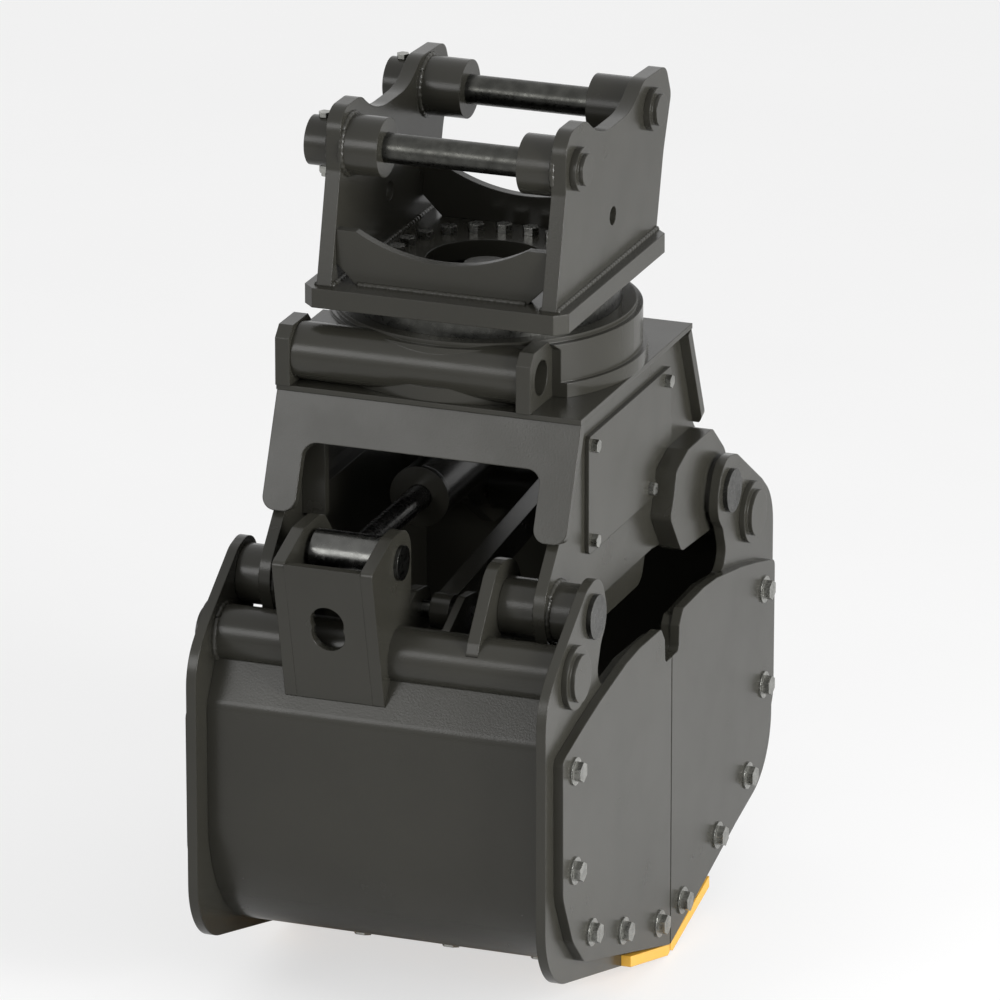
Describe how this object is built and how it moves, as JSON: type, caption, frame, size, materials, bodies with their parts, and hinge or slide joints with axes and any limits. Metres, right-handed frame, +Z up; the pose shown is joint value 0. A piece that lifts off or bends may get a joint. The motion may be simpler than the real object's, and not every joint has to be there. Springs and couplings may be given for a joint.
{
  "type": "sorting grapple",
  "caption": "Clamshell sorting grapple: pinned adapter and worm slew ring over two shells joined by one cylinder and a crossed sync bar.",
  "frame": {"origin": "middle of the stick pin's axis between the ears", "axes": "+Z up, +X along the stick pin, +Y from the stick pin towards the link pin"},
  "size_m": [0.83, 1.344, 1.7722],
  "materials": {
    "grey_paint": "gloss dark grey paint",
    "edge_yellow": "gloss ochre yellow paint",
    "bolt_steel": "dark zinc",
    "pin_steel": "turned steel",
    "rod_steel": "hard chrome"
  },
  "bodies": {
    "adapter": {"adapter_plate": "grey_paint", "ear_left": "grey_paint", "ear_right": "grey_paint", "cross_plates": "grey_paint", "pin_bosses": "grey_paint", "pin_collars": "grey_paint", "stick_pin": "pin_steel", "link_pin": "pin_steel", "pin_end_discs": "grey_paint", "pin_lock_bolts": "bolt_steel", "adapter_bolts": "bolt_steel", "slew_inner_ring": "pin_steel"},
    "frame": {"slew_housing": "grey_paint", "worm_flanges": "grey_paint", "worm_bearings": "pin_steel", "rotary_union": "grey_paint", "frame_top_plate": "grey_paint", "frame_side_right": "grey_paint", "frame_side_left": "grey_paint", "guard_front": "grey_paint", "guard_rear": "grey_paint", "inner_posts": "grey_paint", "frame_doublers": "grey_paint", "pivot_bosses": "grey_paint", "rear_cheeks": "grey_paint", "side_covers": "grey_paint", "cover_bolts": "bolt_steel"},
    "worm": {"worm_shaft": "pin_steel"},
    "shell_front": {"front_back_plate": "grey_paint", "front_cutting_edge": "edge_yellow", "front_cylinder_pin": "pin_steel", "front_edge_bolts": "bolt_steel", "front_lugs": "grey_paint", "front_pivot_pins": "pin_steel", "front_side_left": "grey_paint", "front_side_right": "grey_paint", "front_torsion_tube": "grey_paint", "front_tube_caps": "grey_paint", "front_wear_bolts": "bolt_steel", "front_wear_plates": "grey_paint", "lug_plate": "grey_paint", "sync_front_pin": "pin_steel"},
    "shell_rear": {"rear_back_plate": "grey_paint", "rear_cutting_edge": "edge_yellow", "rear_cylinder_pin": "pin_steel", "rear_edge_bolts": "bolt_steel", "rear_lugs": "grey_paint", "rear_pivot_pins": "pin_steel", "rear_side_left": "grey_paint", "rear_side_right": "grey_paint", "rear_torsion_tube": "grey_paint", "rear_tube_caps": "grey_paint", "rear_wear_bolts": "bolt_steel", "rear_wear_plates": "grey_paint"},
    "rod": {"cylinder_rod": "rod_steel", "cylinder_piston": "pin_steel"},
    "barrel": {"cylinder_barrel": "grey_paint", "cylinder_gland": "grey_paint"},
    "sync_link": {"sync_bar": "grey_paint", "sync_rear_pin": "pin_steel"}
  },
  "joints": [
    {"name": "slew", "type": "hinge", "parent": "adapter", "child": "frame", "pos_m": [0, 0.164, 0], "axis": [0, 0, 1], "continuous": true},
    {"name": "worm_spin", "type": "hinge", "parent": "frame", "child": "worm", "pos_m": [0, -0.104, -0.402], "axis": [1, 0, 0], "continuous": true},
    {"name": "jaw_front", "type": "hinge", "parent": "frame", "child": "shell_front", "pos_m": [0, -0.238, -0.833], "axis": [-1, 0, 0], "range_deg": [0, 60]},
    {"name": "jaw_rear", "type": "hinge", "parent": "frame", "child": "shell_rear", "pos_m": [0, 0.566, -0.833], "axis": [1, 0, 0], "range_deg": [0, 60]},
    {"name": "rod_pivot", "type": "hinge", "parent": "shell_front", "child": "rod", "pos_m": [0, -0.348, -0.73], "axis": [-1, 0, 0], "range_deg": [-60, 0]},
    {"name": "barrel_pivot", "type": "hinge", "parent": "shell_rear", "child": "barrel", "pos_m": [0, 0.676, -0.73], "axis": [1, 0, 0], "range_deg": [-60, 0]},
    {"name": "sync_pivot", "type": "hinge", "parent": "shell_front", "child": "sync_link", "pos_m": [0, -0.217, -0.86937], "axis": [-1, 0, 0], "range_deg": [-60, 0]}
  ],
  "couplings": [
    {"joint": "worm_spin", "follows": "slew", "ratio": 60},
    {"joint": "jaw_rear", "follows": "jaw_front", "ratio": 1},
    {"joint": "rod_pivot", "follows": "jaw_front", "ratio": -1},
    {"joint": "barrel_pivot", "follows": "jaw_front", "ratio": -1},
    {"joint": "sync_pivot", "follows": "jaw_front", "ratio": -1}
  ]
}
